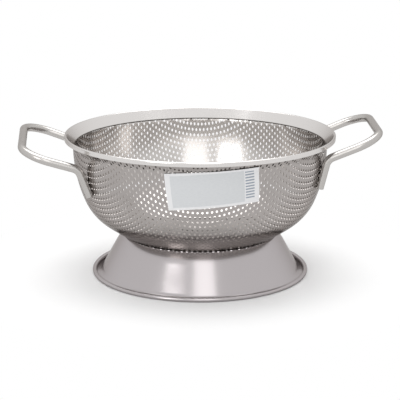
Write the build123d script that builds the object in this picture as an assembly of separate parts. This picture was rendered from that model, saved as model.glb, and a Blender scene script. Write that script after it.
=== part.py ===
from build123d import *
from math import sin, cos, tan, acos, atan2, radians, degrees, sqrt
import os

# Colander: perforated pressed bowl with a plain rim ring, a spun ring foot and two bent rod handles
# Units are millimetres and degrees, Z is up, the table is at Z = 0
# X runs across the two handles, the labelled front faces -Y

# Sheet
sheet_thickness = 0.8
fold_facets = 3

# Bowl, outer face, from the bottom centre up to the mouth
bowl_ground_clearance = 21.6
bottom_radius = 159.4
bottom_sweep_angle = 36.5
knuckle_radius = 50.7
knuckle_sweep_angle = 30.4
side_radius = 131.4

# Perforation: the sheet has holes of this diameter and pitch, and the solid shows the same open area
# as fewer, larger holes, laid out in the flat blank before it is drawn
punched_hole_diameter = 2.35
punched_hole_pitch = 5.1
shown_holes_to_edge = 5
shown_hole_sides = 12
hole_cut_depth = 8.0
blank_plain_border = 9.0
blank_turn_angle = -4.0
drawing_steps = 240

# Mouth of the bowl, flared behind the rim
flare_bend_radius = 3.0
flare_angle = 52.0

# Rim: a plain ring inside the flare, folded down over the bowl's edge as a lip
rim_thickness = 0.5
rim_gap = 0.15
rim_width = 8.17
rim_tail_length = 1.8
crest_bend_radius = 0.7
lip_height = 4.2
bowl_edge_clearance = 0.5

# Foot, spun ring
foot_bead_radius = 105.3
foot_bead_tube_radius = 2.05
foot_bead_curl_angle = 300.0
foot_cone_angle = 63.4
foot_toe_radius = 5.0
foot_top_bend_radius = 1.2
foot_seat_start_angle = 23.6
foot_seat_end_angle = 27.2

# Handles, round rod
rod_diameter = 7.8
grip_overhang = 40.0
leg_half_spacing_at_wall = 55.0
leg_half_spacing_at_bar = 57.0
loop_corner_radius = 24.0
leg_bend_radius = 11.0
leg_drop = 24.7
leg_lean_angle = 21.0
leg_end_standoff = 1.6
left_leg_end_depth = 47.3
left_loop_tilt = 20.5
right_leg_end_depth = 43.2
right_loop_tilt = 23.5

# Spot welds
weld_gap = 0.3
weld_thickness = 0.24
weld_diameter = 3.2
weld_sides = 8
leg_weld_rises = (2.8, 7.2)
foot_weld_count = 8

# Label on the front of the wall
label_width = 85.0
label_height = 34.7
label_centre_height = 110.2
label_bearing = -88.4
label_skew_angle = 4.5
label_band_share = 1.3
label_gap = 0.25
label_thickness = 0.25

full_turn = 360.0
right_angle = 90.0
half = 0.5
hexagon_row_share = sqrt(3) * half


def direction(angle):
    return Vector(cos(radians(angle)), sin(radians(angle)))


def left_of(angle):
    return direction(angle + right_angle)


def walk(start, heading, steps, thickness):
    """Section of a bent sheet: the path is its right-hand face, each step a line, a bend or a tight fold."""
    right_face = []
    left_face = []
    point = start
    for kind, size, turn in steps:
        if kind == "line":
            end = point + direction(heading) * size
            right_face.append(Line(point, end))
            side = left_of(heading) * thickness
            left_face.append(Line(point + side, end + side))
        else:
            sign = 1 if turn > 0 else -1
            centre = point + left_of(heading) * size * sign
            middle = heading + turn * half
            after = heading + turn
            on = [centre - left_of(a) * size * sign for a in (heading, middle, after)]
            reach = size * sign - thickness
            off = [centre - left_of(a) * reach for a in (heading, middle, after)]
            if kind == "bend":
                right_face.append(ThreePointArc(*on))
                left_face.append(ThreePointArc(*off))
            else:
                angles = [heading + turn * n / fold_facets for n in range(fold_facets + 1)]
                on = [centre - left_of(a) * size * sign for a in angles]
                off = [centre - left_of(a) * reach for a in angles]
                right_face += [Line(a, b) for a, b in zip(on, on[1:])]
                left_face += [Line(a, b) for a, b in zip(off, off[1:])]
            end = on[-1]
            heading = after
        point = end
    caps = [Line(right_face[0] @ 0, left_face[0] @ 0), Line(right_face[-1] @ 1, left_face[-1] @ 1)]
    return make_face(Plane.XZ * Wire(right_face + left_face + caps))


def turned(face):
    return revolve(face, Axis.Z)


# Wall arcs of the bowl
side_sweep_angle = right_angle - bottom_sweep_angle - knuckle_sweep_angle
knuckle_end_angle = bottom_sweep_angle + knuckle_sweep_angle
bottom_centre = Vector(0, bowl_ground_clearance + bottom_radius)
knuckle_centre = bottom_centre - left_of(bottom_sweep_angle) * (bottom_radius - knuckle_radius)
side_centre = knuckle_centre - left_of(knuckle_end_angle) * (knuckle_radius - side_radius)
mouth_wall_radius = side_centre.X + side_radius
wall_arcs = (
    (bottom_centre, bottom_radius, 0, bottom_sweep_angle),
    (knuckle_centre, knuckle_radius, bottom_sweep_angle, knuckle_end_angle),
    (side_centre, side_radius, knuckle_end_angle, right_angle),
)


def wall_at_height(height, offset):
    """Radius of the wall face, moved outwards by the offset, at a height."""
    for centre, radius, first, last in wall_arcs:
        if height <= centre.Y - radius * cos(radians(last)) or last == right_angle:
            drop = (centre.Y - height) / (radius + offset)
            return centre.X + (radius + offset) * sqrt(1 - drop * drop)


# Rim: its cone lies in the bowl's flare, a gap away
rim_outer_radius = mouth_wall_radius + rim_width
flare_centre = side_centre + Vector(side_radius + flare_bend_radius, 0)
rim_bend_reach = flare_bend_radius + sheet_thickness + rim_gap
rim_cone_start = flare_centre + left_of(flare_angle) * rim_bend_reach
rim_cone_end_radius = rim_outer_radius - rim_thickness - crest_bend_radius * (1 + sin(radians(flare_angle)))
flare_length = (rim_cone_end_radius - rim_cone_start.X) / cos(radians(flare_angle))
rim_steps = [
    ("line", rim_tail_length + flare_length, 0),
    ("fold", crest_bend_radius, -flare_angle - right_angle),
    ("line", lip_height - crest_bend_radius - rim_thickness, 0),
]
rim_start = rim_cone_start - direction(flare_angle) * rim_tail_length
rim_section = walk(rim_start, flare_angle, rim_steps, rim_thickness)
rim = turned(rim_section)
rim_height = rim_section.bounding_box().max.Z

# Bowl, with its flared edge
bowl_steps = [
    ("bend", bottom_radius, bottom_sweep_angle),
    ("bend", knuckle_radius, knuckle_sweep_angle),
    ("bend", side_radius, side_sweep_angle),
    ("fold", flare_bend_radius, flare_angle - right_angle),
    ("line", flare_length - bowl_edge_clearance, 0),
]
bowl = turned(walk(Vector(0, bowl_ground_clearance), 0, bowl_steps, sheet_thickness))

# Where a ring of the flat blank ends up on the drawn wall: equal areas, ring by ring
stations = [(0, Vector(0, bowl_ground_clearance), 0)]
area_square = 0
for centre, radius, first, last in wall_arcs:
    step = (last - first) / drawing_steps
    for n in range(drawing_steps):
        angle = first + step * (n + 1)
        middle = centre - left_of(angle - step * half) * radius
        area_square += 2 * middle.X * radius * radians(step)
        stations.append((sqrt(area_square), centre - left_of(angle) * radius, angle))
blank_radius = stations[-1][0]


def drawn(distance):
    """Point of the section and its slope angle, for a distance from the blank's centre."""
    return next(station for station in stations if station[0] >= distance)[1:]


# Holes in rows a hexagon's spacing apart
shown_pitch = (blank_radius - blank_plain_border) / shown_holes_to_edge
shown_hole_diameter = shown_pitch * punched_hole_diameter / punched_hole_pitch
hole_outline = RegularPolygon(shown_hole_diameter * half, shown_hole_sides)
hole_tool = extrude(hole_outline, hole_cut_depth * half, both=True)
holes = []
for row in range(-shown_holes_to_edge, shown_holes_to_edge + 1):
    for column in range(-shown_holes_to_edge, shown_holes_to_edge + 1):
        x = (column + row % 2 * half) * shown_pitch
        y = row * shown_pitch * hexagon_row_share
        distance = sqrt(x * x + y * y)
        if distance > shown_pitch * shown_holes_to_edge:
            continue
        place, slope = drawn(distance)
        bearing = degrees(atan2(y, x)) + blank_turn_angle
        holes.append(Rot(0, 0, bearing) * Pos(place.X, 0, place.Y) * Rot(0, -slope, 0) * hole_tool)
bowl = bowl - holes

# Foot: seat against the bowl, top bend, cone, flat base and curled edge
seat_face_radius = bottom_radius + weld_gap + sheet_thickness
seat_start = bottom_centre - left_of(foot_seat_start_angle) * seat_face_radius
seat_end = bottom_centre - left_of(foot_seat_end_angle) * seat_face_radius
bend_centre = seat_end - left_of(foot_seat_end_angle) * foot_top_bend_radius
cone_start = bend_centre + left_of(-foot_cone_angle) * foot_top_bend_radius
toe_rise = foot_toe_radius * (1 - cos(radians(foot_cone_angle)))
cone_length = (cone_start.Y - toe_rise) / sin(radians(foot_cone_angle))
cone_run = cone_length * cos(radians(foot_cone_angle))
toe_end_radius = cone_start.X + cone_run + foot_toe_radius * sin(radians(foot_cone_angle))
base_end_radius = foot_bead_radius - foot_bead_tube_radius
foot_steps = [
    ("bend", seat_face_radius, foot_seat_end_angle - foot_seat_start_angle),
    ("fold", foot_top_bend_radius, -foot_seat_end_angle - foot_cone_angle),
    ("line", cone_length, 0),
    ("fold", foot_toe_radius, foot_cone_angle),
    ("line", base_end_radius - toe_end_radius, 0),
    ("fold", foot_bead_tube_radius, foot_bead_curl_angle * half),
    ("fold", foot_bead_tube_radius, foot_bead_curl_angle * half),
]
foot = turned(walk(seat_start, foot_seat_start_angle, foot_steps, sheet_thickness))


def bent_rod(corners, radii):
    """Round rod: straight runs between corners, each corner a bend of the given radius."""
    runs = []
    start = corners[0]
    for before, corner, after, radius in zip(corners, corners[1:], corners[2:], radii):
        to_corner = (corner - before).normalized()
        away = (after - corner).normalized()
        turn = to_corner.get_angle(away)
        back = radius * tan(radians(turn * half))
        first = corner - to_corner * back
        section = Circle(rod_diameter * half)
        runs.append(extrude(Plane(origin=start, z_dir=to_corner) * section, (first - start).length))
        side = to_corner.cross(away).normalized()
        centre = first + side.cross(to_corner) * radius
        runs.append(revolve(Plane(origin=first, z_dir=to_corner) * section, Axis(centre, side), turn))
        start = corner + away * back
    last_run = corners[-1] - start
    runs.append(extrude(Plane(origin=start, z_dir=last_run) * section, last_run.length))
    return Part() + runs


inside_the_leg_fit = turned(
    make_face(
        Plane.XZ
        * Wire(
            [
                ThreePointArc(*[c - left_of(a) * (r + weld_gap) for a in (f, (f + l) * half, l)])
                for c, r, f, l in wall_arcs
            ]
            + [
                Line((0, bowl_ground_clearance - weld_gap), (0, side_centre.Y)),
                Line((0, side_centre.Y), (mouth_wall_radius + weld_gap, side_centre.Y)),
            ]
        )
    )
)


def handle(leg_end_height, loop_tilt):
    """Rod handle on the +X side, its leg ends shaped to the wall."""
    wall_radius = wall_at_height(leg_end_height, leg_end_standoff)
    end_x = sqrt(wall_radius**2 - leg_half_spacing_at_wall**2)
    knee_x = end_x + leg_drop * tan(radians(leg_lean_angle))
    knee_height = leg_end_height + leg_drop
    bar_x = rim_outer_radius + grip_overhang
    bar_height = knee_height + (bar_x - knee_x) * tan(radians(loop_tilt))
    side = [
        Vector(end_x, leg_half_spacing_at_wall, leg_end_height),
        Vector(knee_x, leg_half_spacing_at_wall, knee_height),
        Vector(bar_x, leg_half_spacing_at_bar, bar_height),
    ]
    corners = side + [Vector(p.X, -p.Y, p.Z) for p in reversed(side)]
    rod = bent_rod(corners, (leg_bend_radius, loop_corner_radius, loop_corner_radius, leg_bend_radius))
    return rod - inside_the_leg_fit


right_leg_end_height = rim_height - right_leg_end_depth
left_leg_end_height = rim_height - left_leg_end_depth
handle_right = handle(right_leg_end_height, right_loop_tilt)
handle_left = Rot(0, 0, 2 * right_angle) * handle(left_leg_end_height, left_loop_tilt)

# Spot welds fill the thin gap between the sheets
weld_outline = RegularPolygon(weld_diameter * half, weld_sides)
weld = Pos(0, 0, weld_gap * half) * extrude(weld_outline, weld_thickness * half, both=True)


def leg_weld(height, side):
    radius = wall_at_height(height, 0)
    slope = degrees(atan2(side_centre.Y - height, radius - side_centre.X))
    bearing = degrees(atan2(leg_half_spacing_at_wall, sqrt(radius**2 - leg_half_spacing_at_wall**2)))
    return Rot(0, 0, bearing * side) * Pos(radius, 0, height) * Rot(0, right_angle + slope, 0) * weld


def leg_welds(leg_end_height):
    return [leg_weld(leg_end_height + rise, side) for rise in leg_weld_rises for side in (1, -1)]


left_leg_welds = [Rot(0, 0, 2 * right_angle) * spot for spot in leg_welds(left_leg_end_height)]
handle_welds = Compound(label="handle_welds", children=leg_welds(right_leg_end_height) + left_leg_welds)

seat_middle_angle = (foot_seat_start_angle + foot_seat_end_angle) * half
seat_middle = bottom_centre - left_of(seat_middle_angle) * bottom_radius
foot_weld = Pos(seat_middle.X, 0, seat_middle.Y) * Rot(0, 2 * right_angle - seat_middle_angle, 0) * weld
seat_welds = [Rot(0, 0, full_turn * (n + half) / foot_weld_count) * foot_weld for n in range(foot_weld_count)]
foot_welds = Compound(label="foot_welds", children=seat_welds)

# Label: a thin bare sticker that follows the wall and the start of its flare
label_place = Plane(
    origin=(0, 0, label_centre_height),
    x_dir=direction(label_bearing + right_angle),
    z_dir=direction(label_bearing),
)
label_face_radius = wall_at_height(label_centre_height, label_gap)
label_chord = 2 * label_face_radius * sin(label_width * half / label_face_radius)
label_outline = Rot(0, 0, label_skew_angle) * Rectangle(label_chord, label_height)
label_reach = label_gap + label_thickness
label_band_drop = side_centre.Y - label_centre_height + label_height * half * label_band_share
label_start_angle = degrees(acos(label_band_drop / side_radius))
label_start = side_centre - left_of(label_start_angle) * (side_radius + label_reach)
label_steps = [
    ("fold", side_radius + label_reach, right_angle - label_start_angle),
    ("fold", flare_bend_radius - label_reach, flare_angle - right_angle),
    ("line", flare_length * half, 0),
]
label_ring = turned(walk(label_start, label_start_angle, label_steps, label_thickness))
label = extrude(label_place * label_outline, rim_outer_radius) & label_ring

parts = {
    "bowl": bowl,
    "rim": rim,
    "foot": foot,
    "handle_left": handle_left,
    "handle_right": handle_right,
    "handle_welds": handle_welds,
    "foot_welds": foot_welds,
    "label": label,
}
os.makedirs("parts", exist_ok=True)
for name, piece in parts.items():
    export_step(piece, "parts/" + name + ".step")
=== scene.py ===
from math import ceil, cos, pi, radians, sin, sqrt, tan

import bpy
import numpy as np
from bpy.props import FloatProperty, FloatVectorProperty, IntProperty, PointerProperty
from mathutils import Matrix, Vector


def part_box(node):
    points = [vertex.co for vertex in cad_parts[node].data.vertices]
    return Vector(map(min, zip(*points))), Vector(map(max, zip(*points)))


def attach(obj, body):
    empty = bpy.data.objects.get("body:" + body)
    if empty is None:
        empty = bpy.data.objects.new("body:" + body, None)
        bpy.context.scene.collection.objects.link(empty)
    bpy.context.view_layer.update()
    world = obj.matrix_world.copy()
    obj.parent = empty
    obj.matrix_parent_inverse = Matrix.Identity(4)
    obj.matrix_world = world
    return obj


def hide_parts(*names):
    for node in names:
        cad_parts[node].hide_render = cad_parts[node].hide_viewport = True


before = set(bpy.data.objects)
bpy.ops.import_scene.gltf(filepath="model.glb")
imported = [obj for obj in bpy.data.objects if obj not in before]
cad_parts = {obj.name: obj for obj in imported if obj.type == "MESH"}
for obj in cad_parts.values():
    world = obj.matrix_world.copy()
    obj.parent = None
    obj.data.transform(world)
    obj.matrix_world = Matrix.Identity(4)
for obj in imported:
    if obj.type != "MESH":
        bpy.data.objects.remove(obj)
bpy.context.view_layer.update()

bl_info = {
    "name": "Colander",
    "version": (1, 0, 0),
    "blender": (4, 5, 0),
    "location": "3D View > Sidebar > Colander",
    "description": "Builds a perforated steel colander on a ring foot, with its studio",
    "category": "Add Mesh",
}

MM = 0.001
FULL_TURN = 2 * pi
RIGHT_ANGLE = pi / 2
# points closer than this are merged into one
MERGE_DISTANCE = 0.01 * MM
# faces that meet at less than these angles are shaded as one surface
SHEET_CREASE = radians(38)
ROD_CREASE = radians(50)
# only the cut ends of a rod have edges sharper than this
ROD_END_ANGLE = radians(60)
# each lamp's place and sides in metres, its power in watts, and the point that it faces
LAMPS = (
    ("left_lamp", (-1.15, -1.53, 0.8), (0.65, 0.9), 4, (0, 0, 0.1)),
    ("front_lamp", (0.03, -1.9, 1.25), (0.9, 2.2), 4.8, (0, 0, 0.1)),
    ("top_lamp", (0.0, 0.5, 2.2), (2.4, 1.8), 24, (0, 0, 0.08)),
)
LAMP_SPREAD = radians(150)
PLAIN_WHITE = (1, 1, 1, 1)


def hex_colour(code):
    """Linear colour from an sRGB hex value."""
    channels = [int(code[n : n + 2], 16) / 255 for n in (0, 2, 4)]
    return [c / 12.92 if c <= 0.04045 else ((c + 0.055) / 1.055) ** 2.4 for c in channels] + [1]


def length(name, description, millimetres):
    """A size shown in the panel, written in millimetres."""
    return FloatProperty(
        name=name, description=description, default=millimetres * MM, unit="LENGTH", precision=5
    )


def angle(name, description, in_degrees):
    """An angle shown in the panel, written in degrees."""
    return FloatProperty(name=name, description=description, default=radians(in_degrees), unit="ROTATION")


def colour(name, description, code):
    """A colour shown in the panel, written as an sRGB hex value."""
    return FloatVectorProperty(
        name=name, description=description, default=hex_colour(code), size=4, min=0, max=1, subtype="COLOR"
    )


def count(name, description, number):
    """A whole number shown in the panel."""
    return IntProperty(name=name, description=description, default=number, min=1)


class BowlSettings(bpy.types.PropertyGroup):
    """Drawn bowl, and the holes punched in its blank."""

    thickness: length("Sheet thickness", "Thickness of bowl and foot sheet", 0.8)
    ground_clearance: length("Bottom height", "Underside of the bowl's middle over the table", 21.6)
    bottom_radius: length("Bottom radius", "Outer radius of the dished bottom", 159.4)
    bottom_sweep: angle("Bottom sweep", "How far the bottom arc runs", 36.5)
    knuckle_radius: length("Knuckle radius", "Outer radius between bottom and side", 50.7)
    knuckle_sweep: angle("Knuckle sweep", "How far the knuckle arc runs", 30.4)
    side_radius: length("Side radius", "Outer radius of the side wall's arc", 131.4)
    flare_bend: length("Flare bend", "Radius where the wall turns out behind the rim", 3.0)
    flare_angle: angle("Flare angle", "Slope of the flared edge", 52.0)
    edge_clearance: length("Edge clearance", "How far the flared edge stays short of the rim's crest", 0.5)
    facet: length("Facet", "Longest facet along the section", 0.25)
    hole_pitch: length("Hole pitch", "Distance between holes in the flat blank", 5.1)
    hole_diameter: length("Hole diameter", "Diameter of the punch", 2.35)
    plain_border: length("Plain border", "Blank left plain between last hole and edge", 3.6)
    edge_strip: length("Edge strip", "Blank between the last cells and the edge", 0.7)
    blank_turn: angle("Blank turn", "How far the hole pattern is turned from the handles' line", -4.0)
    outside_dark: colour("Outside, dark", "Darker patches of the satin outside", "9f9a97")
    outside_light: colour("Outside, light", "Lighter patches of the satin outside", "b1acaa")
    # painted light: the inside's colour is lighter than the outside's, standing in for its brighter
    # reflections
    inside: colour("Inside", "Brighter buffed inside", "c4c0bd")


class RimSettings(bpy.types.PropertyGroup):
    """Plain rim ring, laid in the bowl's flare and folded over its edge."""

    thickness: length("Thickness", "Thickness of the ring's sheet", 0.5)
    gap: length("Gap", "Gap between ring and bowl", 0.15)
    width: length("Width", "How far the rim stands out over the wall", 8.17)
    tail: length("Tail", "How far the ring reaches down past the flare's bend", 1.8)
    crest_bend: length("Crest bend", "Inner radius where the rim turns down", 0.7)
    lip_height: length("Lip height", "Height of the turned-down lip", 4.2)
    facet: length("Facet", "Longest facet along the section", 0.45)
    facets_round: count("Facets round", "Facets round the ring", 192)
    steel: colour("Steel", "Polished steel of the ring", "d7d4d2")
    # painted shadow: this dark colour on the ring's lower edge and the joint under it stands in for the
    # shadow in the gap under the ring
    seam: colour("Seam", "Dark cut edge of the ring, and the seam under it", "4a4540")
    painted_shadow_top: length("Seam height", "Up to here over its lowest point the ring is dark", 0.6)
    bright_height: length("Bright height", "From here over its lowest point the ring is bright", 1.4)


class FootSettings(bpy.types.PropertyGroup):
    """Spun ring foot."""

    seat_gap: length("Weld gap", "Gap that the spot welds fill", 0.3)
    seat_start: angle("Seat start", "Where the seat starts on the bowl's bottom arc", 23.6)
    seat_end: angle("Seat end", "Where the seat ends on the bowl's bottom arc", 27.2)
    top_bend: length("Top bend", "Bend between seat and neck", 1.2)
    neck_angle: angle("Neck angle", "Slope of the neck right under its top bend", 50.0)
    neck_bend: length("Neck bend", "Long bend between neck and cone", 65.0)
    cone_angle: angle("Cone angle", "Slope of the cone", 61.0)
    toe_radius: length("Toe radius", "Bend between cone and base", 8.2)
    bead_radius: length("Foot radius", "Outer radius of the curled edge", 105.3)
    bead_tube: length("Curl radius", "Outer radius of the curl itself", 2.05)
    bead_curl: angle("Curl angle", "How far the edge is curled", 300.0)
    facet: length("Facet", "Longest facet along the section", 0.7)
    facets_round: count("Facets round", "Facets round the foot", 160)
    steel: colour("Steel", "Buffed steel of the foot", "b2adae")


class HandleSettings(bpy.types.PropertyGroup):
    """Bent rod handles, each a loop of two legs and a grip bar."""

    rod: length("Rod diameter", "Diameter of the rod", 7.8)
    corner: length("Corner radius", "Bend between leg and grip bar", 26.0)
    knee: length("Knee radius", "Bend where a leg turns down along the wall", 10.0)
    end_bevel: length("End bevel", "Width of the rounding at the rod's cut ends", 0.557)
    sides: count("Sides", "Facets round the rod", 24)
    ring_spacing: length("Ring spacing", "About the length of a facet along a straight run", 2.34)
    ring_turn: angle("Ring turn", "About the turn of a facet in a bend", 7.0)
    left_depth: length("Left leg depth", "Left legs end this far below the rim's top", 48.1)
    left_wall_spacing: length("Left legs at wall", "Half the distance between the left legs there", 55.0)
    left_bar_spacing: length("Left legs at bar", "Half the distance between the left legs there", 59.0)
    left_standoff: length("Left standoff", "Rod centre from the wall at the left leg ends", 2.5)
    left_drop: length("Left leg drop", "Height from a left leg's end to its knee", 27.5)
    left_lean: angle("Left leg lean", "Lean of the left leg ends from upright", 21.5)
    left_overhang: length("Left overhang", "Middle of the left grip bar beyond the rim", 39.2)
    left_tilt: angle("Left tilt", "Upward tilt of the left loop", 18.7)
    left_twist: angle("Left twist", "How far the left loop is bent down at the front", 3.0)
    left_swing: angle("Left swing", "How far the left loop is bent outward at the back", 1.2)
    right_depth: length("Right leg depth", "Right legs end this far below the rim's top", 44.5)
    right_wall_spacing: length("Right legs at wall", "Half the distance between the right legs there", 52.5)
    right_bar_spacing: length("Right legs at bar", "Half the distance between the right legs there", 55.0)
    right_standoff: length("Right standoff", "Rod centre from the wall at the right leg ends", 2.8)
    right_drop: length("Right leg drop", "Height from a right leg's end to its knee", 28.4)
    right_lean: angle("Right leg lean", "Lean of the right leg ends from upright", 16.0)
    right_overhang: length("Right overhang", "Middle of the right grip bar beyond the rim", 38.7)
    right_tilt: angle("Right tilt", "Upward tilt of the right loop", 21.7)
    right_twist: angle("Right twist", "How far the right loop is bent down at the front", 1.0)
    right_swing: angle("Right swing", "How far the right loop is bent outward at the back", 2.4)
    steel: colour("Steel", "Polished steel of the rod", "bbb8b5")


class LabelSettings(bpy.types.PropertyGroup):
    """Bare sticker on the front of the wall."""

    width: length("Width", "Width of the sticker", 85.0)
    height: length("Height", "Height of the sticker", 34.7)
    thickness: length("Thickness", "Thickness of the sticker", 0.16)
    centre_height: length("Centre height", "Height of its middle over the table", 110.2)
    bearing: angle("Bearing", "Where it is stuck round the wall", -88.4)
    skew: angle("Skew", "How far it is stuck askew", 4.5)
    lift: length("Lift", "Its back over the wall", 0.7)
    facets_across: count("Facets across", "Facets along its width", 44)
    facets_up: count("Facets up", "Facets along its height", 18)
    paper: colour("Paper", "Bare paper of the edge", "d9d9da")
    panel_dark: colour("Panel, dark", "Darker tint of the panel", "bec0c3")
    panel_light: colour("Panel, light", "Lighter tint of the panel", "cccecf")
    bars: colour("Bars", "Ink of the plain bars", "8d95a0")
    bar_count: count("Bar count", "Bars that the sticker's height has room for", 13)


class WeldSettings(bpy.types.PropertyGroup):
    """Spot welds, which keep their CAD shape."""

    dark: colour("Dark", "Darker grains of the weld metal", "8f8a84")
    light: colour("Light", "Lighter grains of the weld metal", "aaa59f")


class StudioSettings(bpy.types.PropertyGroup):
    """Camera, floor and light."""

    distance: length("Camera distance", "Level distance from the bowl's axis", 1320.4)
    height: length("Camera height", "Height over the table", 412.4)
    pitch: angle("Camera pitch", "How far the camera looks down", 14.55)
    azimuth: angle("Camera azimuth", "Where the camera stands round the object", -4.0)
    lens_pixels: FloatProperty(name="Lens", description="Focal length in picture pixels", default=1402.8)
    picture_pixels: count("Picture", "Width of the picture in pixels", 400)
    sensor_width: FloatProperty(name="Sensor", description="Width of the sensor in millimetres", default=36)
    clip_end: length("Far clip", "How far the camera sees", 50000.0)
    floor_size: length("Floor size", "Side of the floor", 12000.0)
    floor_colour: colour("Floor", "Matt white paint of the floor", "fafafa")
    white_start: length("White start", "Distance from the axis where the floor starts to fade to white", 95.0)
    white_end: length("White end", "Distance where the floor is plain white", 240.0)
    world_light: FloatProperty(name="World light", description="Strength of the even light", default=0.65)


def activate(obj):
    """Select only this object and make it active."""
    bpy.ops.object.select_all(action="DESELECT")
    obj.select_set(True)
    bpy.context.view_layer.objects.active = obj


def apply_modifier(obj, kind, **settings):
    """Add a modifier with its settings and apply it."""
    activate(obj)
    modifier = obj.modifiers.new(kind.title(), kind)
    for name, value in settings.items():
        setattr(modifier, name, value)
    bpy.ops.object.modifier_apply(modifier=modifier.name)


def settle(obj):
    """Put the piece's place into its mesh."""
    activate(obj)
    bpy.ops.object.transform_apply(location=True, rotation=True, scale=True)


def smooth(obj, limit):
    """Shade the piece smooth, but for edges sharper than the limit."""
    activate(obj)
    bpy.ops.object.shade_smooth_by_angle(angle=limit)


def point_outwards():
    """In edit mode, turn all faces of the mesh the same way."""
    bpy.ops.mesh.select_all(action="SELECT")
    bpy.ops.mesh.normals_make_consistent(inside=False)


def read_values(items, name, width, kind=float):
    """One attribute of all points, edges or faces of a mesh, as rows of this width."""
    values = np.empty(len(items) * width, dtype=kind)
    items.foreach_get(name, values)
    return values.reshape(-1, width)


def get_points(mesh):
    """Places of a mesh's points, a row for each."""
    return read_values(mesh.vertices, "co", 3)


def set_points(mesh, points):
    """Move a mesh's points to these places."""
    mesh.vertices.foreach_set("co", np.ascontiguousarray(points).ravel())
    mesh.update()


def place_round_axis(mesh, radius, bearing, height):
    """Move a mesh's points to these places round the bowl's axis."""
    set_points(mesh, np.column_stack([radius * np.cos(bearing), radius * np.sin(bearing), height]))


def select_only(mesh, items, chosen):
    """Select these faces or edges of a mesh, given as true and false, and nothing else."""
    for group in (mesh.vertices, mesh.edges, mesh.polygons):
        group.foreach_set("select", np.zeros(len(group), dtype=bool))
    items.foreach_set("select", chosen)


def walk(start, heading, steps, facet):
    """Middle line of a bent sheet, a row of distance, radius and height for each point.

    A step is a straight run (length, 0) or a bend (radius, turn), and a turn to the left is positive.
    Each step has at least two facets.
    """
    line = [(0.0, start[0], start[1])]
    for size, turn in steps:
        run, radius, height = line[-1]
        step_length = size * abs(turn) if turn else size
        facets = max(2, ceil(step_length / facet))
        for n in range(1, facets + 1):
            part = n / facets
            if turn:
                side = size if turn > 0 else -size
                now = heading + turn * part
                x = radius + side * (sin(now) - sin(heading))
                z = height + side * (cos(heading) - cos(now))
            else:
                x = radius + size * part * cos(heading)
                z = height + size * part * sin(heading)
            line.append((run + step_length * part, x, z))
        heading += turn
    return np.array(line)


def wall_line():
    """The bowl's middle line up to the top of its wall."""
    bowl = bpy.context.scene.colander_bowl
    half = bowl.thickness / 2
    steps = [
        (bowl.bottom_radius - half, bowl.bottom_sweep),
        (bowl.knuckle_radius - half, bowl.knuckle_sweep),
        (bowl.side_radius - half, RIGHT_ANGLE - bowl.bottom_sweep - bowl.knuckle_sweep),
    ]
    return walk((0, bowl.ground_clearance + half), 0, steps, bowl.facet)


def rim_places():
    """Outer radius of the rim, start of its cone, and length of the flare, all from the wall's top."""
    bowl = bpy.context.scene.colander_bowl
    rim = bpy.context.scene.colander_rim
    _, radius, height = wall_line()[-1]
    wall_radius = radius + bowl.thickness / 2
    rim_radius = wall_radius + rim.width
    reach = bowl.flare_bend + bowl.thickness + rim.gap
    cone_x = wall_radius + bowl.flare_bend - reach * sin(bowl.flare_angle)
    cone_z = height + reach * cos(bowl.flare_angle)
    cone_end = rim_radius - rim.thickness - rim.crest_bend * (1 + sin(bowl.flare_angle))
    return rim_radius, (cone_x, cone_z), (cone_end - cone_x) / cos(bowl.flare_angle)


def bowl_line():
    """The bowl's middle line with its flared edge."""
    bowl = bpy.context.scene.colander_bowl
    wall = wall_line()
    bend = bowl.flare_bend + bowl.thickness / 2
    steps = [(bend, bowl.flare_angle - RIGHT_ANGLE), (rim_places()[2] - bowl.edge_clearance, 0)]
    flare = walk(wall[-1, 1:], RIGHT_ANGLE, steps, bowl.facet)
    return np.vstack([wall, flare[1:] + [wall[-1, 0], 0, 0]])


def outer_face(lift):
    """Distance, radius and height along the bowl's outer face, moved out by the lift."""
    line = bowl_line()
    along = np.gradient(line[:, 1:], axis=0)
    along /= np.linalg.norm(along, axis=1)[:, None]
    out = bpy.context.scene.colander_bowl.thickness / 2 + lift
    return np.column_stack([line[:, 0], line[:, 1] + along[:, 1] * out, line[:, 2] - along[:, 0] * out])


def wall_radius_at(height, lift):
    """Radius of the bowl's outer face, moved out by the lift, at a height (numbers or arrays)."""
    face = outer_face(lift)
    return np.interp(height, face[:, 2], face[:, 1])


def add_material(obj, material):
    """Give the object this material and no other."""
    obj.data.materials.clear()
    obj.data.materials.append(material)


def stand_in(obj, node, material):
    """The finished piece rides on the one body and stands for its CAD node."""
    add_material(obj, material)
    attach(obj, "root")
    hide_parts(node)


def punched_cell(bowl):
    """One six-sided cell of the blank with its hole."""
    cell_radius = bowl.hole_pitch / sqrt(3)
    bpy.ops.object.select_all(action="DESELECT")
    bpy.ops.mesh.primitive_circle_add(vertices=6, radius=cell_radius, fill_type="NGON")
    # the hole is a hexagon of the same area as the round punch
    corner_radius = bowl.hole_diameter / 2 * sqrt(2 * pi / (3 * sqrt(3)))
    web = (cell_radius - corner_radius) * cos(pi / 6)
    bpy.ops.object.mode_set(mode="EDIT")
    bpy.ops.mesh.inset(thickness=web)
    bpy.ops.mesh.delete(type="ONLY_FACE")
    bpy.ops.object.mode_set(mode="OBJECT")
    return bpy.context.object


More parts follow.
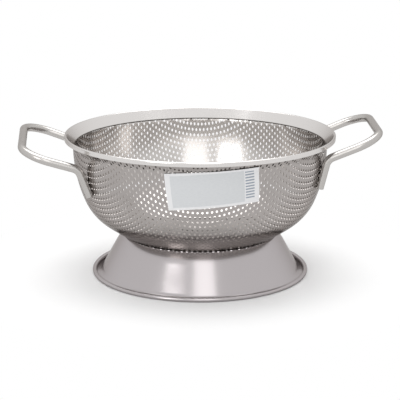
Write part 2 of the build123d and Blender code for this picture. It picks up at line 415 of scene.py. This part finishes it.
def punched_blank(bowl, last_hole):
    """Flat blank: the cell repeated in rows and columns, as far out as the last hole."""
    row_pitch = bowl.hole_pitch * sqrt(3) / 2
    rows = ceil(last_hole / row_pitch)
    columns = ceil(last_hole / bowl.hole_pitch) + ceil(rows / 2)
    row_count, column_count = 2 * rows + 1, 2 * columns + 1
    column_step = Vector((bowl.hole_pitch, 0, 0))
    row_step = Vector((bowl.hole_pitch / 2, row_pitch, 0))
    blank = punched_cell(bowl)
    faces_per_cell = len(blank.data.polygons)
    for repeats, step in ((column_count, column_step), (row_count, row_step)):
        apply_modifier(
            blank, "ARRAY", count=repeats, use_relative_offset=False, use_constant_offset=True,
            constant_offset_displace=step, use_merge_vertices=True, merge_threshold=MERGE_DISTANCE,
        )
    mesh = blank.data
    first = -column_step * columns - row_step * rows
    set_points(mesh, get_points(mesh) + np.array(first))

    # cells with their middle beyond the last hole are cut away
    cell = np.arange(len(mesh.polygons)) // faces_per_cell
    column, row = cell % column_count, cell // column_count
    x = first.x + column * bowl.hole_pitch + row * row_step.x
    y = first.y + row * row_pitch
    bpy.context.tool_settings.mesh_select_mode = (False, False, True)
    select_only(mesh, mesh.polygons, np.hypot(x, y) > last_hole)
    bpy.ops.object.mode_set(mode="EDIT")
    bpy.ops.mesh.delete(type="FACE")
    bpy.ops.mesh.select_all(action="SELECT")
    bpy.ops.mesh.remove_doubles(threshold=MERGE_DISTANCE)
    bpy.ops.object.mode_set(mode="OBJECT")
    return blank


def trim_blank(blank, bowl, strip_radius, edge_radius):
    """The blank's ragged outside is moved to a clean circle, and a plain strip is added round it."""
    mesh = blank.data
    bpy.ops.object.mode_set(mode="EDIT")
    bpy.ops.mesh.select_mode(type="EDGE")
    bpy.ops.mesh.select_all(action="DESELECT")
    bpy.ops.mesh.select_non_manifold()
    bpy.ops.object.mode_set(mode="OBJECT")

    # of the open edges, those of the holes are short and those of the blank's outside long
    points = get_points(mesh)
    ends = read_values(mesh.edges, "vertices", 2, int)
    is_open = read_values(mesh.edges, "select", 1, bool)[:, 0]
    edge_length = np.linalg.norm(points[ends[:, 0]] - points[ends[:, 1]], axis=1)
    outside = is_open & (edge_length > bowl.hole_pitch / 2)
    outside_points = np.unique(ends[outside])
    reach = np.hypot(points[outside_points, 0], points[outside_points, 1])
    points[outside_points, :2] *= (strip_radius / reach)[:, None]
    set_points(mesh, points)

    select_only(mesh, mesh.edges, outside)
    factor = edge_radius / strip_radius
    bpy.ops.object.mode_set(mode="EDIT")
    bpy.ops.mesh.extrude_edges_move()
    bpy.ops.transform.resize(value=(factor, factor, 1), center_override=(0, 0, 0))
    bpy.ops.object.mode_set(mode="OBJECT")


def deep_draw(blank, bowl, blank_radius, line):
    """Each ring of the flat blank is carried to its place on the bowl's section."""
    points = get_points(blank.data)
    reach = np.hypot(points[:, 0], points[:, 1])
    bearing = np.arctan2(points[:, 1], points[:, 0]) + bowl.blank_turn
    run = np.interp(reach, blank_radius, line[:, 0])
    radius = np.interp(run, line[:, 0], line[:, 1])
    height = np.interp(run, line[:, 0], line[:, 2])
    place_round_axis(blank.data, radius, bearing, height)
    bpy.ops.object.mode_set(mode="EDIT")
    point_outwards()
    bpy.ops.object.mode_set(mode="OBJECT")


class OBJECT_OT_colander_bowl(bpy.types.Operator):
    """Perforated bowl: cells arrayed to a flat blank, drawn to the bowl's section, and thickened"""

    bl_idname = "object.colander_bowl"
    bl_label = "Perforated bowl"

    def execute(self, context):
        bowl = context.scene.colander_bowl
        line = bowl_line()
        # the blank's radius for each point of the section, as a ring of it keeps its area when it is drawn
        area = np.cumsum((line[1:, 1] + line[:-1, 1]) * np.diff(line[:, 0]))
        blank_radius = np.sqrt(np.concatenate([[0], area]))
        edge_radius = blank_radius[-1]
        sheet = punched_blank(bowl, edge_radius - bowl.plain_border)
        sheet.name = "bowl_sheet"
        trim_blank(sheet, bowl, edge_radius - bowl.edge_strip, edge_radius)
        deep_draw(sheet, bowl, blank_radius, line)
        apply_modifier(sheet, "SOLIDIFY", thickness=bowl.thickness, offset=0, use_even_offset=True)
        smooth(sheet, SHEET_CREASE)
        stand_in(sheet, "bowl", satin_stainless(bowl))
        return {"FINISHED"}


def spun_ring(name, line, thickness, facets_round):
    """A sheet ring spun from the middle line of its section."""
    mesh = bpy.data.meshes.new(name)
    section = [(radius, 0, height) for _, radius, height in line]
    mesh.from_pydata(section, [(n, n + 1) for n in range(len(section) - 1)], [])
    ring = bpy.data.objects.new(name, mesh)
    bpy.context.collection.objects.link(ring)
    activate(ring)
    bpy.ops.object.mode_set(mode="EDIT")
    bpy.ops.mesh.select_all(action="SELECT")
    bpy.ops.mesh.spin(steps=facets_round, angle=FULL_TURN, center=(0, 0, 0), axis=(0, 0, 1))
    bpy.ops.mesh.select_all(action="SELECT")
    bpy.ops.mesh.remove_doubles(threshold=MERGE_DISTANCE)
    point_outwards()
    bpy.ops.object.mode_set(mode="OBJECT")
    apply_modifier(ring, "SOLIDIFY", thickness=thickness, offset=0, use_even_offset=True)
    smooth(ring, SHEET_CREASE)
    return ring


class OBJECT_OT_colander_rim(bpy.types.Operator):
    """Rim ring: its section is spun round the axis"""

    bl_idname = "object.colander_rim"
    bl_label = "Rim ring"

    def execute(self, context):
        rim = context.scene.colander_rim
        slope = context.scene.colander_bowl.flare_angle
        _, cone_start, flare_length = rim_places()
        half = rim.thickness / 2
        # the middle line of the ring's sheet, half its thickness inside the cone's lower face
        x = cone_start[0] - rim.tail * cos(slope) - half * sin(slope)
        z = cone_start[1] - rim.tail * sin(slope) + half * cos(slope)
        steps = [
            (rim.tail + flare_length, 0),
            (rim.crest_bend + half, -slope - RIGHT_ANGLE),
            (rim.lip_height - rim.crest_bend - rim.thickness, 0),
        ]
        line = walk((x, z), slope, steps, rim.facet)
        ring = spun_ring("rim_ring", line, rim.thickness, rim.facets_round)
        stand_in(ring, "rim", polished_stainless(rim))
        return {"FINISHED"}


class OBJECT_OT_colander_foot(bpy.types.Operator):
    """Ring foot: its section is spun round the axis"""

    bl_idname = "object.colander_foot"
    bl_label = "Ring foot"

    def execute(self, context):
        bowl = context.scene.colander_bowl
        foot = context.scene.colander_foot
        half = bowl.thickness / 2
        seat = bowl.bottom_radius + foot.seat_gap + half
        centre = bowl.ground_clearance + bowl.bottom_radius
        start = (seat * sin(foot.seat_start), centre - seat * cos(foot.seat_start))
        top = [
            (seat, foot.seat_end - foot.seat_start),
            (foot.top_bend + half, -foot.seat_end - foot.neck_angle),
            (foot.neck_bend, foot.neck_angle - foot.cone_angle),
        ]
        _, cone_x, cone_z = walk(start, foot.seat_start, top, foot.facet)[-1]
        toe = foot.toe_radius - half
        cone = (cone_z - half - toe * (1 - cos(foot.cone_angle))) / sin(foot.cone_angle)
        toe_end = cone_x + cone * cos(foot.cone_angle) + toe * sin(foot.cone_angle)
        base = foot.bead_radius - foot.bead_tube - toe_end
        if base < 0:
            raise ValueError("the foot's toe reaches past its curled edge")
        edge = [(cone, 0), (toe, foot.cone_angle), (base, 0), (foot.bead_tube - half, foot.bead_curl)]
        line = walk(start, foot.seat_start, top + edge, foot.facet)
        ring = spun_ring("foot_ring", line, bowl.thickness, foot.facets_round)
        stand_in(ring, "foot", buffed_stainless(foot))
        return {"FINISHED"}


def extrude_run(run, spacing):
    """Extrude what is selected along a straight run, in equal pieces of about this length."""
    pieces = max(1, round(run.length / spacing))
    for _ in range(pieces):
        bpy.ops.mesh.extrude_region_move(TRANSFORM_OT_translate={"value": run / pieces})


def bent_rod(name, corners, handles):
    """A rod drawn along straight runs and spun round its bends."""
    directions = [(b - a).normalized() for a, b in zip(corners, corners[1:])]
    bpy.ops.object.select_all(action="DESELECT")
    bpy.ops.mesh.primitive_circle_add(
        vertices=handles.sides, radius=handles.rod / 2, location=corners[0],
        rotation=directions[0].to_track_quat("Z", "Y").to_euler(),
    )
    rod = bpy.context.object
    rod.name = name
    settle(rod)
    bpy.ops.object.mode_set(mode="EDIT")
    bpy.ops.mesh.select_all(action="SELECT")
    place = corners[0]
    bends = (handles.knee, handles.corner, handles.corner, handles.knee)
    for into, out, corner, bend in zip(directions, directions[1:], corners[1:], bends):
        turn = into.angle(out)
        bend_start = corner - into * (bend * tan(turn / 2))
        extrude_run(bend_start - place, handles.ring_spacing)
        axis = into.cross(out).normalized()
        # spin turns the other way round its axis
        bpy.ops.mesh.spin(
            steps=max(1, round(turn / handles.ring_turn)), angle=-turn,
            center=bend_start + axis.cross(into) * bend, axis=axis,
        )
        place = corner + out * (bend * tan(turn / 2))
    extrude_run(corners[-1] - place, handles.ring_spacing)
    bpy.ops.mesh.select_all(action="SELECT")
    bpy.ops.mesh.remove_doubles(threshold=MERGE_DISTANCE)
    bpy.ops.mesh.select_all(action="DESELECT")
    bpy.ops.mesh.select_non_manifold()
    bpy.ops.mesh.edge_face_add()
    point_outwards()
    bpy.ops.object.mode_set(mode="OBJECT")
    return rod


def press_legs(rod, gap, below):
    """Below this height, the rod is pressed flat where it would come closer to the wall than the gap."""
    points = get_points(rod.data)
    reach = np.hypot(points[:, 0], points[:, 1])
    stand = reach - wall_radius_at(points[:, 2], 0)
    pressed = np.where(points[:, 2] < below, np.maximum(stand, gap), stand)
    points[:, :2] *= ((reach - stand + pressed) / reach)[:, None]
    set_points(rod.data, points)


def loop_corners(handles, name, side):
    """One handle's corners, from the end of its back leg to that of its front leg, and its knees' height."""

    def size(what):
        """The handle's own value of a size."""
        return getattr(handles, name + "_" + what)

    end_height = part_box("rim")[1].z - size("depth")
    end_radius = float(wall_radius_at(end_height, size("standoff")))
    end_x = sqrt(end_radius**2 - size("wall_spacing") ** 2)
    knee_x = end_x + size("drop") * tan(size("lean"))
    knee_height = end_height + size("drop")
    bar_x = rim_places()[0] + size("overhang")
    bar_height = knee_height + (bar_x - knee_x) * tan(size("tilt"))
    # each corner's place in a straight loop, and the part of the twist and swing that reaches it
    back_leg = [
        (end_x, size("wall_spacing"), end_height, 0),
        (knee_x, size("wall_spacing"), knee_height, 0.5),
        (bar_x, size("bar_spacing"), bar_height, 1),
    ]
    front_leg = [(x, -y, z, part) for x, y, z, part in reversed(back_leg)]
    twist, swing = tan(size("twist")), tan(size("swing"))
    corners = [
        Vector(((x + y * swing * part) * side, y, z + y * twist * part))
        for x, y, z, part in back_leg + front_leg
    ]
    return corners, knee_height


class OBJECT_OT_colander_handles(bpy.types.Operator):
    """Both rod handles: bent, and pressed flat where their ends lie on the wall"""

    bl_idname = "object.colander_handles"
    bl_label = "Handles"

    def execute(self, context):
        handles = context.scene.colander_handles
        gap = context.scene.colander_foot.seat_gap
        for name, side in (("left", -1), ("right", 1)):
            corners, knee_height = loop_corners(handles, name, side)
            rod = bent_rod("handle_" + name + "_rod", corners, handles)
            press_legs(rod, gap, knee_height)
            apply_modifier(
                rod, "BEVEL", width=handles.end_bevel, segments=2,
                limit_method="ANGLE", angle_limit=ROD_END_ANGLE,
            )
            smooth(rod, ROD_CREASE)
            stand_in(rod, "handle_" + name, polished_rod(handles))
        return {"FINISHED"}


class OBJECT_OT_colander_label(bpy.types.Operator):
    """Bare sticker: a grid wrapped on the wall"""

    bl_idname = "object.colander_label"
    bl_label = "Sticker"

    def execute(self, context):
        label = context.scene.colander_label
        bpy.ops.object.select_all(action="DESELECT")
        bpy.ops.mesh.primitive_grid_add(
            x_subdivisions=label.facets_across, y_subdivisions=label.facets_up, size=1, calc_uvs=True
        )
        sticker = bpy.context.object
        sticker.name = "label_sticker"
        bpy.ops.object.mode_set(mode="EDIT")
        bpy.ops.transform.resize(value=(label.width, label.height, 1), center_override=(0, 0, 0))
        bpy.ops.object.mode_set(mode="OBJECT")
        points = get_points(sticker.data)
        across = points[:, 0] * cos(label.skew) - points[:, 1] * sin(label.skew)
        up = points[:, 0] * sin(label.skew) + points[:, 1] * cos(label.skew)
        face = outer_face(label.lift)
        run = np.interp(label.centre_height, face[:, 2], face[:, 0]) + up
        radius = np.interp(run, face[:, 0], face[:, 1])
        height = np.interp(run, face[:, 0], face[:, 2])
        bearing = label.bearing + across / wall_radius_at(label.centre_height, label.lift)
        place_round_axis(sticker.data, radius, bearing, height)
        bpy.ops.object.mode_set(mode="EDIT")
        point_outwards()
        bpy.ops.object.mode_set(mode="OBJECT")
        apply_modifier(sticker, "SOLIDIFY", thickness=label.thickness, offset=1)
        smooth(sticker, SHEET_CREASE)
        stand_in(sticker, "label", sticker_paper(label))
        return {"FINISHED"}


class OBJECT_OT_colander_welds(bpy.types.Operator):
    """Finish of the spot welds, which keep their CAD shape"""

    bl_idname = "object.colander_welds"
    bl_label = "Spot welds"

    def execute(self, context):
        for node in ("handle_welds", "foot_welds"):
            add_material(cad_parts[node], weld_metal(context.scene.colander_welds))
        return {"FINISHED"}


def new_material(name):
    """A fresh node material, its node tree and its Principled shader."""
    material = bpy.data.materials.new(name)
    material.use_nodes = True
    return material, material.node_tree, material.node_tree.nodes["Principled BSDF"]


def add_node(tree, kind, settings=None, links=None):
    """Add a node, give its sockets or properties their values, and link its inputs."""
    node = tree.nodes.new(kind)
    for name, value in (settings or {}).items():
        if isinstance(name, int) or name in node.inputs:
            node.inputs[name].default_value = value
        else:
            setattr(node, name, value)
    for name, source in (links or {}).items():
        tree.links.new(source, node.inputs[name])
    return node


def per_metre(millimetres):
    """Scale of a noise whose patches are this far apart, in metres of the Object coordinates."""
    return 1 / (millimetres * MM)


def set_steel(shader):
    """Chrome steel stays grey where it is seen at a slant, a little darker than a perfect mirror."""
    shader.inputs["Metallic"].default_value = 1
    shader.inputs["Specular Tint"].default_value = hex_colour("c8c5c3")


def satin_stainless(bowl):
    """18/10 stainless sheet, deep drawn and satin polished: soft, slightly streaky reflections."""
    material, tree, shader = new_material("satin_stainless")
    place = add_node(tree, "ShaderNodeTexCoord").outputs["Object"]
    # the marks of drawing and polishing run round the wall, and are coarser than real ones so that they show
    marks_scale = (per_metre(40), per_metre(40), per_metre(2.38))
    marks_place = add_node(tree, "ShaderNodeMapping", {"Scale": marks_scale}, {"Vector": place})
    marks = add_node(
        tree, "ShaderNodeTexNoise", {"Scale": 1.0, "Detail": 3.0}, {"Vector": marks_place.outputs[0]}
    )
    clouds = add_node(
        tree, "ShaderNodeTexNoise", {"Scale": per_metre(38.5), "Detail": 2.0}, {"Vector": place}
    )
    outside = add_node(
        tree, "ShaderNodeMix",
        {"data_type": "RGBA", 6: bowl.outside_dark, 7: bowl.outside_light},
        {0: clouds.outputs["Fac"]},
    )
    # the inside, whose faces look towards the axis, is painted brighter than the outside: painted light for
    # the brighter reflections inside the bowl
    outward = add_node(tree, "ShaderNodeVectorMath", {"operation": "MULTIPLY", 1: (1, 1, 0)}, {0: place})
    facing = add_node(tree, "ShaderNodeNewGeometry").outputs["True Normal"]
    inward = add_node(
        tree, "ShaderNodeVectorMath", {"operation": "DOT_PRODUCT"}, {0: facing, 1: outward.outputs[0]}
    )
    painted_light_inside = add_node(
        tree, "ShaderNodeMath", {"operation": "LESS_THAN", 1: 0.0}, {0: inward.outputs["Value"]}
    )
    tone = add_node(
        tree, "ShaderNodeMix", {"data_type": "RGBA", 7: bowl.inside},
        {0: painted_light_inside.outputs[0], 6: outside.outputs[2]},
    )
    # roughness from 0.15 to 0.25
    rough = add_node(
        tree, "ShaderNodeMath", {"operation": "MULTIPLY_ADD", 1: 0.10, 2: 0.15}, {0: marks.outputs["Fac"]}
    )
    mark_bump = add_node(
        tree, "ShaderNodeBump", {"Strength": 0.05, "Distance": 0.2 * MM}, {"Height": marks.outputs["Fac"]}
    )
    # the pressed wall is a little wavy round its girth
    girth_scale = (per_metre(35.7), per_metre(35.7), per_metre(333))
    girth = add_node(tree, "ShaderNodeMapping", {"Scale": girth_scale}, {"Vector": place})
    waves = add_node(tree, "ShaderNodeTexNoise", {"Scale": 1.0, "Detail": 1.0}, {"Vector": girth.outputs[0]})
    bump = add_node(
        tree, "ShaderNodeBump", {"Strength": 0.6, "Distance": 3 * MM},
        {"Height": waves.outputs["Fac"], "Normal": mark_bump.outputs[0]},
    )
    set_steel(shader)
    tree.links.new(tone.outputs[2], shader.inputs["Base Color"])
    tree.links.new(rough.outputs[0], shader.inputs["Roughness"])
    tree.links.new(bump.outputs[0], shader.inputs["Normal"])
    return material


def polished_stainless(rim):
    """Stainless ring, polished on a wheel: bright, slightly soft reflections."""
    material, tree, shader = new_material("polished_stainless")
    place = add_node(tree, "ShaderNodeTexCoord").outputs["Object"]
    clouds = add_node(
        tree, "ShaderNodeTexNoise", {"Scale": per_metre(33.3), "Detail": 2.0}, {"Vector": place}
    )
    # roughness from 0.12 to 0.22
    rough = add_node(
        tree, "ShaderNodeMath", {"operation": "MULTIPLY_ADD", 1: 0.10, 2: 0.12}, {0: clouds.outputs["Fac"]}
    )
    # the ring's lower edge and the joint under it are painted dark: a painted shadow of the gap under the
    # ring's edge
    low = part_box("rim")[0].z
    parts = add_node(tree, "ShaderNodeSeparateXYZ", links={0: place})
    edge = add_node(
        tree, "ShaderNodeMapRange",
        {"interpolation_type": "SMOOTHSTEP", 1: low + rim.painted_shadow_top, 2: low + rim.bright_height},
        {0: parts.outputs["Z"]},
    )
    tone = add_node(
        tree, "ShaderNodeMix", {"data_type": "RGBA", 6: rim.seam, 7: rim.steel}, {0: edge.outputs[0]}
    )
    set_steel(shader)
    tree.links.new(tone.outputs[2], shader.inputs["Base Color"])
    tree.links.new(rough.outputs[0], shader.inputs["Roughness"])
    return material


def buffed_stainless(foot):
    """Stainless sheet, spun and buffed: soft reflections, bent a little by the spinning."""
    material, tree, shader = new_material("buffed_stainless")
    place = add_node(tree, "ShaderNodeTexCoord").outputs["Object"]
    waves = add_node(
        tree, "ShaderNodeTexNoise", {"Scale": per_metre(45.5), "Detail": 1.0}, {"Vector": place}
    )
    bump = add_node(
        tree, "ShaderNodeBump", {"Strength": 0.5, "Distance": 2 * MM}, {"Height": waves.outputs["Fac"]}
    )
    set_steel(shader)
    shader.inputs["Base Color"].default_value = foot.steel
    shader.inputs["Roughness"].default_value = 0.21
    tree.links.new(bump.outputs[0], shader.inputs["Normal"])
    return material


def polished_rod(handles):
    """Stainless rod, drawn, bent and tumbled: bright, with small scuffs."""
    material, tree, shader = new_material("polished_rod_stainless")
    place = add_node(tree, "ShaderNodeTexCoord").outputs["Object"]
    scuffs = add_node(
        tree, "ShaderNodeTexNoise", {"Scale": per_metre(5.56), "Detail": 3.0}, {"Vector": place}
    )
    # roughness from 0.20 to 0.34
    rough = add_node(
        tree, "ShaderNodeMath", {"operation": "MULTIPLY_ADD", 1: 0.14, 2: 0.20}, {0: scuffs.outputs["Fac"]}
    )
    set_steel(shader)
    shader.inputs["Base Color"].default_value = handles.steel
    tree.links.new(rough.outputs[0], shader.inputs["Roughness"])
    return material


def weld_metal(welds):
    """Bare stainless weld nugget: dull and slightly heat-tinted."""
    material, tree, shader = new_material("bare_weld_stainless")
    place = add_node(tree, "ShaderNodeTexCoord").outputs["Object"]
    grain = add_node(tree, "ShaderNodeTexNoise", {"Scale": per_metre(1.11)}, {"Vector": place})
    tone = add_node(
        tree, "ShaderNodeMix", {"data_type": "RGBA", 6: welds.dark, 7: welds.light}, {0: grain.outputs["Fac"]}
    )
    set_steel(shader)
    shader.inputs["Roughness"].default_value = 0.5
    tree.links.new(tone.outputs[2], shader.inputs["Base Color"])
    return material


def sticker_paper(label):
    """Coated paper sticker: pale edge, tinted panel, a plain block of even bars, no lettering."""
    material, tree, shader = new_material("coated_sticker_paper")
    place = add_node(tree, "ShaderNodeTexCoord").outputs["UV"]
    parts = add_node(tree, "ShaderNodeSeparateXYZ", links={0: place})
    across, up = parts.outputs["X"], parts.outputs["Y"]

    def all_true(tests):
        """1 where every test is: each has an operation, the number to test against and the value."""
        result = None
        for operation, number, value in tests:
            test = add_node(tree, "ShaderNodeMath", {"operation": operation, 1: number}, {0: value})
            if result:
                both = {0: result.outputs[0], 1: test.outputs[0]}
                test = add_node(tree, "ShaderNodeMath", {"operation": "MULTIPLY"}, both)
            result = test
        return result.outputs[0]

    def patch(left, right, low, high):
        """Tests for a rectangle, whose edges are parts of the sticker's width and height."""
        return [
            ("GREATER_THAN", left, across), ("LESS_THAN", right, across),
            ("GREATER_THAN", low, up), ("LESS_THAN", high, up),
        ]

    turns = add_node(
        tree, "ShaderNodeMath", {"operation": "MULTIPLY", 1: FULL_TURN * label.bar_count}, {0: up}
    )
    wave = add_node(tree, "ShaderNodeMath", {"operation": "SINE"}, {0: turns.outputs[0]})
    panel = all_true(patch(0.055, 0.835, 0.07, 0.93))
    bars = all_true(patch(0.845, 0.945, 0.12, 0.90) + [("GREATER_THAN", 0.0, wave.outputs[0])])
    # the tint's patches are 2.8 mm apart across the sticker, whose UV map is one unit wide
    mottle = add_node(
        tree, "ShaderNodeTexNoise", {"Scale": label.width * per_metre(2.83), "Detail": 4.0}, {"Vector": place}
    )
    tint = add_node(
        tree, "ShaderNodeMix",
        {"data_type": "RGBA", 6: label.panel_dark, 7: label.panel_light},
        {0: mottle.outputs["Fac"]},
    )
    printed = add_node(
        tree, "ShaderNodeMix", {"data_type": "RGBA", 6: label.paper}, {0: panel, 7: tint.outputs[2]}
    )
    inked = add_node(
        tree, "ShaderNodeMix", {"data_type": "RGBA", 7: label.bars}, {0: bars, 6: printed.outputs[2]}
    )
    tree.links.new(inked.outputs[2], shader.inputs["Base Color"])
    shader.inputs["Roughness"].default_value = 0.45
    return material


def seen(tree):
    """1 where a ray comes from the camera, a reflection or glass, so all three show the white background."""
    path = add_node(tree, "ShaderNodeLightPath")
    result = path.outputs["Is Camera Ray"]
    for ray in ("Is Glossy Ray", "Is Transmission Ray"):
        either = {0: result, 1: path.outputs[ray]}
        result = add_node(tree, "ShaderNodeMath", {"operation": "MAXIMUM"}, either).outputs[0]
    return result


def white_floor(studio):
    """White paint near the object, where its shadow falls, and plain white further out."""
    material, tree, shader = new_material("matt_white_paint")
    shader.inputs["Base Color"].default_value = studio.floor_colour
    shader.inputs["Roughness"].default_value = 0.9
    place = add_node(tree, "ShaderNodeTexCoord").outputs["Object"]
    distance = add_node(tree, "ShaderNodeVectorMath", {"operation": "LENGTH"}, {0: place})
    far = add_node(
        tree, "ShaderNodeMapRange",
        {"interpolation_type": "SMOOTHSTEP", 1: studio.white_start, 2: studio.white_end},
        {0: distance.outputs["Value"]},
    )
    fade = add_node(tree, "ShaderNodeMath", {"operation": "MULTIPLY"}, {0: far.outputs[0], 1: seen(tree)})
    white = add_node(tree, "ShaderNodeEmission", {"Color": PLAIN_WHITE, "Strength": 1.0})
    mix = add_node(
        tree, "ShaderNodeMixShader", links={0: fade.outputs[0], 1: shader.outputs[0], 2: white.outputs[0]}
    )
    tree.links.new(mix.outputs[0], tree.nodes["Material Output"].inputs["Surface"])
    return material


class OBJECT_OT_colander_studio(bpy.types.Operator):
    """Pale floor, even light, lamps, and the camera at the picture's viewing angle"""

    bl_idname = "object.colander_studio"
    bl_label = "Studio"

    def execute(self, context):
        studio = context.scene.colander_studio
        context.scene.view_settings.view_transform = "Standard"
        self.floor(studio)
        self.world(studio)
        for lamp in LAMPS:
            self.lamp(*lamp)
        self.camera(studio)
        return {"FINISHED"}

    def floor(self, studio):
        """A wide plane under the object."""
        bpy.ops.object.select_all(action="DESELECT")
        bpy.ops.mesh.primitive_plane_add(size=studio.floor_size)
        floor = bpy.context.object
        floor.name = "studio_floor"
        add_material(floor, white_floor(studio))

    def world(self, studio):
        """Even light from all round, in front of a plain white background."""
        world = bpy.data.worlds.new("studio_light")
        bpy.context.scene.world = world
        world.use_nodes = True
        tree = world.node_tree
        even = tree.nodes["Background"]
        even.inputs["Color"].default_value = PLAIN_WHITE
        even.inputs["Strength"].default_value = studio.world_light
        white = add_node(tree, "ShaderNodeBackground", {"Color": PLAIN_WHITE, "Strength": 1.0})
        mix = add_node(
            tree, "ShaderNodeMixShader", links={0: seen(tree), 1: even.outputs[0], 2: white.outputs[0]}
        )
        tree.links.new(mix.outputs[0], tree.nodes["World Output"].inputs["Surface"])

    def lamp(self, name, place, size, power, aim):
        """A soft rectangular lamp."""
        light = bpy.data.lights.new(name, "AREA")
        light.shape = "RECTANGLE"
        light.size, light.size_y = size
        light.energy = power
        light.spread = LAMP_SPREAD
        lamp = bpy.data.objects.new(name, light)
        bpy.context.collection.objects.link(lamp)
        lamp.location = place
        lamp.rotation_euler = (Vector(aim) - Vector(place)).to_track_quat("-Z", "Y").to_euler()

    def camera(self, studio):
        """The camera that the picture was fitted with."""
        lens = bpy.data.cameras.new("picture_camera")
        camera = bpy.data.objects.new("picture_camera", lens)
        bpy.context.collection.objects.link(camera)
        lens.sensor_width = studio.sensor_width
        lens.lens = studio.lens_pixels / studio.picture_pixels * studio.sensor_width
        lens.clip_end = studio.clip_end
        turn, distance = studio.azimuth, studio.distance
        camera.location = (distance * sin(turn), -distance * cos(turn), studio.height)
        camera.rotation_euler = (RIGHT_ANGLE - studio.pitch, 0, turn)
        bpy.context.scene.camera = camera


# the operators in the order of work, and the settings that each has in the scene under its own name
SETTINGS = {
    "colander_bowl": BowlSettings,
    "colander_rim": RimSettings,
    "colander_foot": FootSettings,
    "colander_handles": HandleSettings,
    "colander_label": LabelSettings,
    "colander_welds": WeldSettings,
    "colander_studio": StudioSettings,
}


class VIEW3D_PT_colander(bpy.types.Panel):
    """Lists the pieces with their sizes and colours"""

    bl_label = "Colander"
    bl_idname = "VIEW3D_PT_colander"
    bl_space_type = "VIEW_3D"
    bl_region_type = "UI"
    bl_category = "Colander"

    def draw(self, context):
        for piece in SETTINGS:
            box = self.layout.box()
            box.operator("object." + piece)
            settings = getattr(context.scene, piece)
            for name in settings.__annotations__:
                box.prop(settings, name)


CLASSES = (
    *SETTINGS.values(),
    OBJECT_OT_colander_bowl,
    OBJECT_OT_colander_rim,
    OBJECT_OT_colander_foot,
    OBJECT_OT_colander_handles,
    OBJECT_OT_colander_label,
    OBJECT_OT_colander_welds,
    OBJECT_OT_colander_studio,
    VIEW3D_PT_colander,
)


def register():
    """Make the settings, the operators and the panel known to Blender."""
    for cls in CLASSES:
        bpy.utils.register_class(cls)
    for name, group in SETTINGS.items():
        setattr(bpy.types.Scene, name, PointerProperty(type=group))


def unregister():
    """Take them away again."""
    for name in SETTINGS:
        delattr(bpy.types.Scene, name)
    for cls in reversed(CLASSES):
        bpy.utils.unregister_class(cls)


def main():
    """Build every piece and the studio."""
    register()
    for piece in SETTINGS:
        getattr(bpy.ops.object, piece)()


if __name__ == "__main__":
    main()
